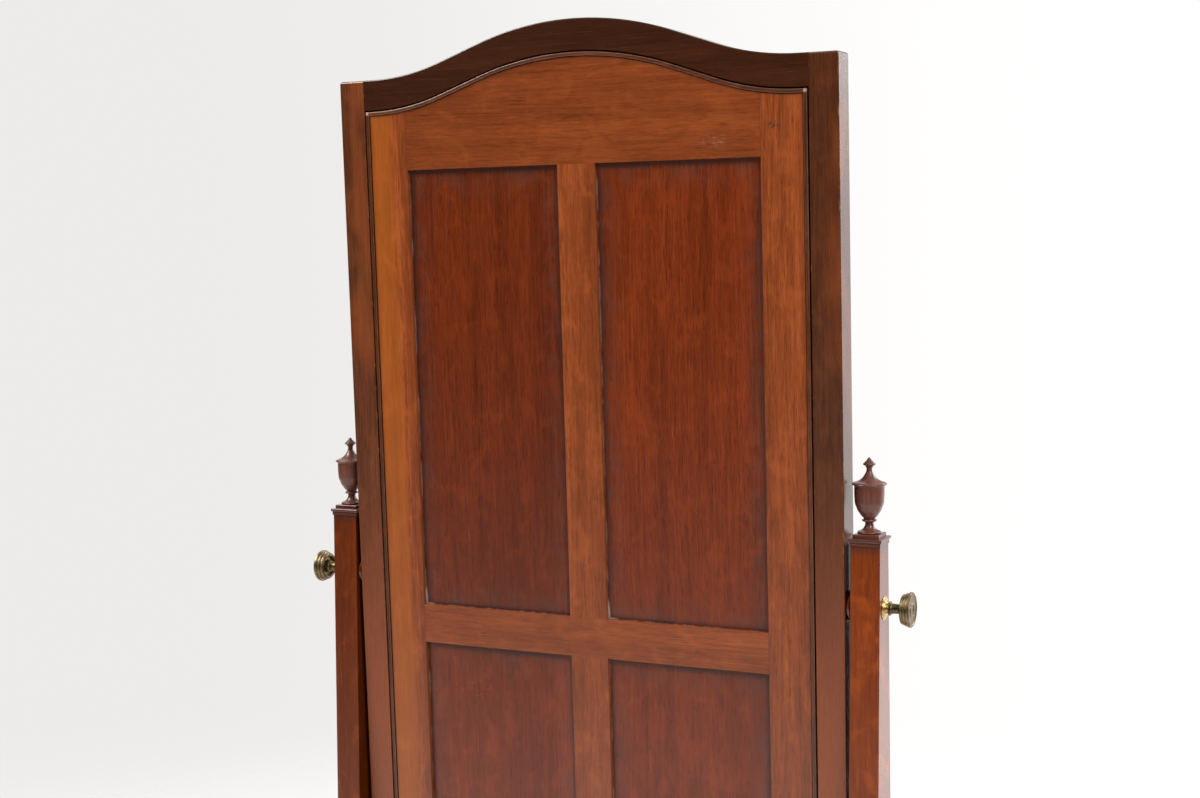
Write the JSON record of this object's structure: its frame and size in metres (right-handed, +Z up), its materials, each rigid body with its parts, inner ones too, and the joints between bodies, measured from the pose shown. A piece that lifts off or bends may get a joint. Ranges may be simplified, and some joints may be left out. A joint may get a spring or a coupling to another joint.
{
  "type": "cheval mirror",
  "caption": "Free-standing full-length mirror with an arched frame and panelled back, tilting between uprights on swept legs with castors.",
  "frame": {"origin": "on the floor, midway between the uprights", "axes": "+Z up; the glass faces -Y and the panelled back faces +Y; X runs along the pivot axis"},
  "size_m": [0.7516, 0.5436, 1.5126],
  "materials": {
    "frame_mahogany": "polished, dark",
    "back_mahogany": "polished, faded orange-brown",
    "panel_mahogany": "polished, red-brown",
    "bead_mahogany": "polished",
    "stand_mahogany": "french polished, figured",
    "turned_mahogany": "french polished, turned",
    "softwood": "bare",
    "dowel_beech": "bare",
    "silvered_glass": "silvered, bevelled",
    "brass": "aged, turned",
    "castor_brass": "aged, cast",
    "steel": "plain"
  },
  "bodies": {
    "stand": {"castor_cups": "brass", "finial_left": "turned_mahogany", "finial_right": "turned_mahogany", "leg_dowels": "dowel_beech", "leg_front_left": "stand_mahogany", "leg_front_right": "stand_mahogany", "leg_rear_left": "stand_mahogany", "leg_rear_right": "stand_mahogany", "pivot_boss_left": "turned_mahogany", "pivot_boss_right": "turned_mahogany", "rosette_left": "brass", "rosette_right": "brass", "stretcher": "stand_mahogany", "upright_cap_left": "turned_mahogany", "upright_cap_right": "turned_mahogany", "upright_left": "stand_mahogany", "upright_right": "stand_mahogany"},
    "castor_front_left": {"castor_axle_front_left": "steel", "castor_horn_front_left": "brass"},
    "castor_front_right": {"castor_axle_front_right": "steel", "castor_horn_front_right": "brass"},
    "castor_rear_left": {"castor_axle_rear_left": "steel", "castor_horn_rear_left": "brass"},
    "castor_rear_right": {"castor_axle_rear_right": "steel", "castor_horn_rear_right": "brass"},
    "knob_left": {"clamp_knob_left": "brass", "clamp_screw_left": "steel"},
    "knob_right": {"clamp_knob_right": "brass", "clamp_screw_right": "steel"},
    "mirror": {"back_bead_crest": "bead_mahogany", "back_bead_foot": "bead_mahogany", "back_bead_left": "bead_mahogany", "back_bead_right": "bead_mahogany", "back_foot_rail": "back_mahogany", "back_middle_rail": "back_mahogany", "back_muntin_lower": "back_mahogany", "back_muntin_upper": "back_mahogany", "back_panel_lower_left": "panel_mahogany", "back_panel_lower_right": "panel_mahogany", "back_panel_upper_left": "panel_mahogany", "back_panel_upper_right": "panel_mahogany", "back_stile_left": "back_mahogany", "back_stile_right": "back_mahogany", "back_top_rail": "back_mahogany", "frame_crest_rail": "frame_mahogany", "frame_foot_rail": "frame_mahogany", "frame_stile_left": "frame_mahogany", "frame_stile_right": "frame_mahogany", "glass_blocks": "softwood", "mirror_glass": "silvered_glass", "pivot_plate_left": "brass", "pivot_plate_right": "brass", "pivot_plate_screws": "brass"},
    "washer_left": {"thrust_washer_left": "brass"},
    "washer_right": {"thrust_washer_right": "brass"},
    "wheel_front_left": {"castor_wheel_front_left": "castor_brass"},
    "wheel_front_right": {"castor_wheel_front_right": "castor_brass"},
    "wheel_rear_left": {"castor_wheel_rear_left": "castor_brass"},
    "wheel_rear_right": {"castor_wheel_rear_right": "castor_brass"}
  },
  "joints": [
    {"name": "mirror_tilt", "type": "hinge", "parent": "stand", "child": "mirror", "pos_m": [0, 0, 0.87], "axis": [1, 0, 0], "continuous": true},
    {"name": "knob_left_travel", "type": "slide", "parent": "stand", "child": "washer_left", "axis": [-1, 0, 0], "range_m": [0, 0.0025]},
    {"name": "knob_left_turn", "type": "hinge", "parent": "washer_left", "child": "knob_left", "pos_m": [-0.3666, 0, 0.87], "axis": [-1, 0, 0], "range_deg": [0, 720]},
    {"name": "knob_right_travel", "type": "slide", "parent": "stand", "child": "washer_right", "axis": [1, 0, 0], "range_m": [0, 0.0025]},
    {"name": "knob_right_turn", "type": "hinge", "parent": "washer_right", "child": "knob_right", "pos_m": [0.3666, 0, 0.87], "axis": [1, 0, 0], "range_deg": [0, 720]},
    {"name": "swivel_front_left", "type": "hinge", "parent": "stand", "child": "castor_front_left", "pos_m": [-0.327, -0.252, 0.0465], "axis": [0, 0, 1], "continuous": true},
    {"name": "wheel_front_left_roll", "type": "hinge", "parent": "castor_front_left", "child": "wheel_front_left", "pos_m": [-0.33263, -0.2414, 0.015], "axis": [-0.8829, -0.4695, 0], "continuous": true},
    {"name": "swivel_front_right", "type": "hinge", "parent": "stand", "child": "castor_front_right", "pos_m": [0.327, -0.252, 0.0465], "axis": [0, 0, 1], "continuous": true},
    {"name": "wheel_front_right_roll", "type": "hinge", "parent": "castor_front_right", "child": "wheel_front_right", "pos_m": [0.33263, -0.2414, 0.015], "axis": [-0.8829, 0.4695, 0], "continuous": true},
    {"name": "swivel_rear_left", "type": "hinge", "parent": "stand", "child": "castor_rear_left", "pos_m": [-0.327, 0.252, 0.0465], "axis": [0, 0, 1], "continuous": true},
    {"name": "wheel_rear_left_roll", "type": "hinge", "parent": "castor_rear_left", "child": "wheel_rear_left", "pos_m": [-0.33263, 0.2414, 0.015], "axis": [0.8829, -0.4695, 0], "continuous": true},
    {"name": "swivel_rear_right", "type": "hinge", "parent": "stand", "child": "castor_rear_right", "pos_m": [0.327, 0.252, 0.0465], "axis": [0, 0, 1], "continuous": true},
    {"name": "wheel_rear_right_roll", "type": "hinge", "parent": "castor_rear_right", "child": "wheel_rear_right", "pos_m": [0.33263, 0.2414, 0.015], "axis": [0.8829, 0.4695, 0], "continuous": true}
  ],
  "couplings": [
    {"joint": "knob_left_turn", "follows": "knob_left_travel", "rad_per_m": 5026.5},
    {"joint": "knob_right_turn", "follows": "knob_right_travel", "rad_per_m": 5026.5}
  ]
}
